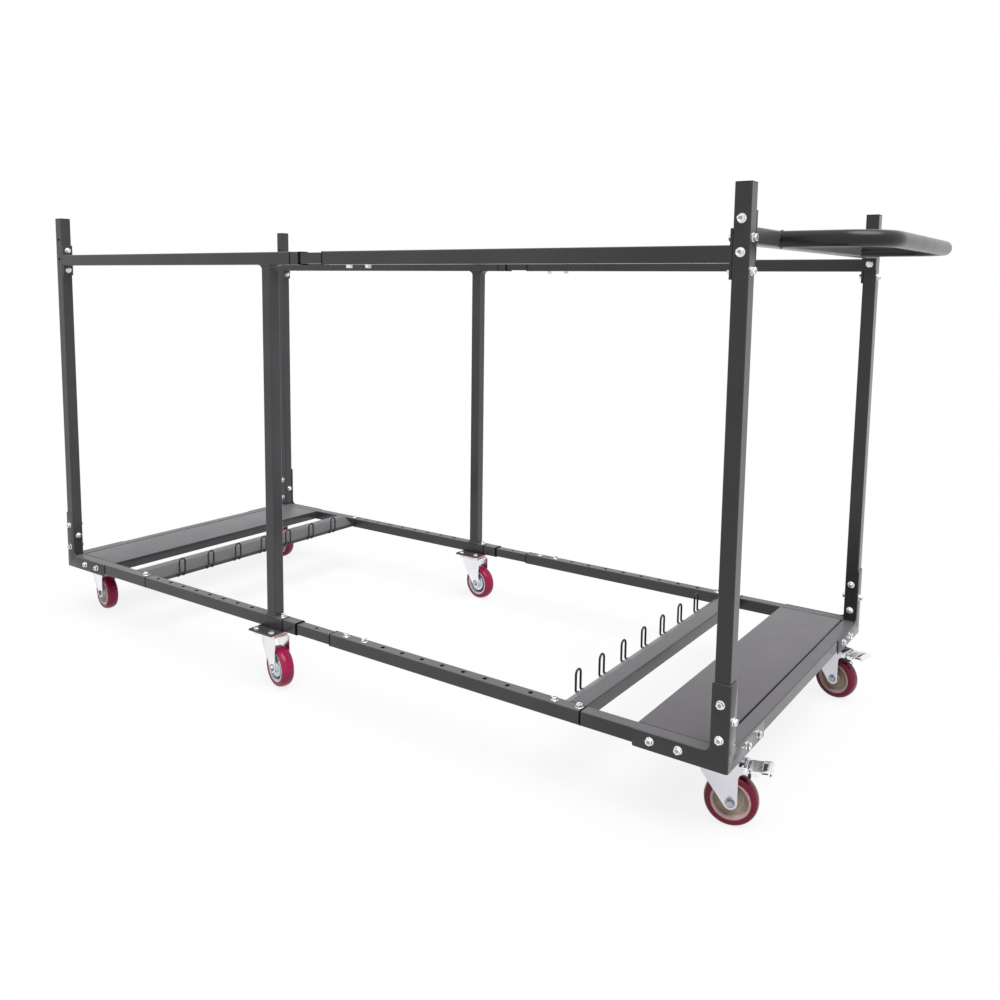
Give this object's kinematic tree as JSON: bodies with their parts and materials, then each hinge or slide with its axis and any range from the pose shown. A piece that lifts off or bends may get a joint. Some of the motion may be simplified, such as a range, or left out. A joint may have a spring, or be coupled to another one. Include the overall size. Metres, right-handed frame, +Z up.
{
  "type": "banquet table trolley",
  "caption": "Long open trolley for folded banquet tables: telescoping square-tube frame, end decks with wire table dividers, push handle and swivel casters, braked at the handle end.",
  "frame": {"origin": "on the floor under the middle of the overall box", "axes": "+X along the length towards the push handle, +Y across, +Z up"},
  "size_m": [2.2856, 0.955, 1.179],
  "materials": {
    "frame_paint": "satin charcoal powder coat",
    "zinc": "bright zinc plate",
    "wire": "black paint",
    "cap": "matte",
    "tread": "satin polyurethane",
    "wheel_core": "moulded"
  },
  "bodies": {
    "left_half": {"left_base_frame": "frame_paint", "left_deck": "frame_paint", "left_hook_bar": "frame_paint", "left_table_hooks": "wire", "near_left_post": "frame_paint", "far_left_post": "frame_paint", "left_post_caps": "cap", "left_brackets": "frame_paint", "near_left_rail": "frame_paint", "far_left_rail": "frame_paint", "near_mid_post": "frame_paint", "far_mid_post": "frame_paint", "near_left_top_rail": "frame_paint", "far_left_top_rail": "frame_paint", "rail_sliders": "frame_paint", "top_sliders": "frame_paint", "left_bolts": "zinc", "left_caster_plates": "zinc"},
    "right_half": {"right_base_frame": "frame_paint", "right_deck": "frame_paint", "right_hook_bar": "frame_paint", "right_table_hooks": "wire", "near_right_post": "frame_paint", "far_right_post": "frame_paint", "right_post_caps": "cap", "right_brackets": "frame_paint", "near_right_rail": "frame_paint", "far_right_rail": "frame_paint", "near_right_top_rail": "frame_paint", "far_right_top_rail": "frame_paint", "handle_cross_tube": "frame_paint", "push_handle": "frame_paint", "right_bolts": "zinc", "right_caster_plates": "zinc"},
    "near_left_caster": {"near_left_fork": "zinc", "near_left_axle": "zinc"},
    "near_left_wheel": {"near_left_core": "wheel_core", "near_left_tread": "tread"},
    "far_left_caster": {"far_left_fork": "zinc", "far_left_axle": "zinc"},
    "far_left_wheel": {"far_left_core": "wheel_core", "far_left_tread": "tread"},
    "near_mid_caster": {"near_mid_fork": "zinc", "near_mid_axle": "zinc"},
    "near_mid_wheel": {"near_mid_core": "wheel_core", "near_mid_tread": "tread"},
    "far_mid_caster": {"far_mid_fork": "zinc", "far_mid_axle": "zinc"},
    "far_mid_wheel": {"far_mid_core": "wheel_core", "far_mid_tread": "tread"},
    "near_right_caster": {"near_right_fork": "zinc", "near_right_axle": "zinc"},
    "near_right_wheel": {"near_right_core": "wheel_core", "near_right_tread": "tread"},
    "near_right_brake": {"near_right_pedal": "zinc"},
    "far_right_caster": {"far_right_fork": "zinc", "far_right_axle": "zinc"},
    "far_right_wheel": {"far_right_core": "wheel_core", "far_right_tread": "tread"},
    "far_right_brake": {"far_right_pedal": "zinc"}
  },
  "joints": [
    {"name": "length_slide", "type": "slide", "parent": "left_half", "child": "right_half", "axis": [1, 0, 0], "range_m": [-0.057, 0.172]},
    {"name": "near_left_swivel", "type": "hinge", "parent": "left_half", "child": "near_left_caster", "pos_m": [-1.0902, -0.353, 0.143], "axis": [0, 0, 1], "continuous": true},
    {"name": "near_left_roll", "type": "hinge", "parent": "near_left_caster", "child": "near_left_wheel", "pos_m": [-1.06959, -0.35701, 0.051], "axis": [0.1908, 0.9816, 0], "continuous": true},
    {"name": "far_left_swivel", "type": "hinge", "parent": "left_half", "child": "far_left_caster", "pos_m": [-1.0902, 0.353, 0.143], "axis": [0, 0, 1], "continuous": true},
    {"name": "far_left_roll", "type": "hinge", "parent": "far_left_caster", "child": "far_left_wheel", "pos_m": [-1.06921, 0.35373, 0.051], "axis": [-0.0349, 0.9994, 0], "continuous": true},
    {"name": "near_mid_swivel", "type": "hinge", "parent": "left_half", "child": "near_mid_caster", "pos_m": [-0.2362, -0.425, 0.143], "axis": [0, 0, 1], "continuous": true},
    {"name": "near_mid_roll", "type": "hinge", "parent": "near_mid_caster", "child": "near_mid_wheel", "pos_m": [-0.21601, -0.43079, 0.051], "axis": [0.2756, 0.9613, 0], "continuous": true},
    {"name": "far_mid_swivel", "type": "hinge", "parent": "left_half", "child": "far_mid_caster", "pos_m": [-0.2362, 0.425, 0.143], "axis": [0, 0, 1], "continuous": true},
    {"name": "far_mid_roll", "type": "hinge", "parent": "far_mid_caster", "child": "far_mid_wheel", "pos_m": [-0.21552, 0.42135, 0.051], "axis": [0.1736, 0.9848, 0], "continuous": true},
    {"name": "near_right_swivel", "type": "hinge", "parent": "right_half", "child": "near_right_caster", "pos_m": [0.9038, -0.353, 0.143], "axis": [0, 0, 1], "continuous": true},
    {"name": "near_right_roll", "type": "hinge", "parent": "near_right_caster", "child": "near_right_wheel", "pos_m": [0.92418, -0.34792, 0.051], "axis": [-0.2419, 0.9703, 0], "continuous": true},
    {"name": "near_right_brake_pedal", "type": "hinge", "parent": "near_right_caster", "child": "near_right_brake", "pos_m": [0.94843, -0.34187, 0.118], "axis": [-0.2419, 0.9703, 0], "range_deg": [0, 15]},
    {"name": "far_right_swivel", "type": "hinge", "parent": "right_half", "child": "far_right_caster", "pos_m": [0.9038, 0.353, 0.143], "axis": [0, 0, 1], "continuous": true},
    {"name": "far_right_roll", "type": "hinge", "parent": "far_right_caster", "child": "far_right_wheel", "pos_m": [0.92434, 0.34863, 0.051], "axis": [0.2079, 0.9781, 0], "continuous": true},
    {"name": "far_right_brake_pedal", "type": "hinge", "parent": "far_right_caster", "child": "far_right_brake", "pos_m": [0.94879, 0.34344, 0.118], "axis": [0.2079, 0.9781, 0], "range_deg": [0, 15]}
  ]
}
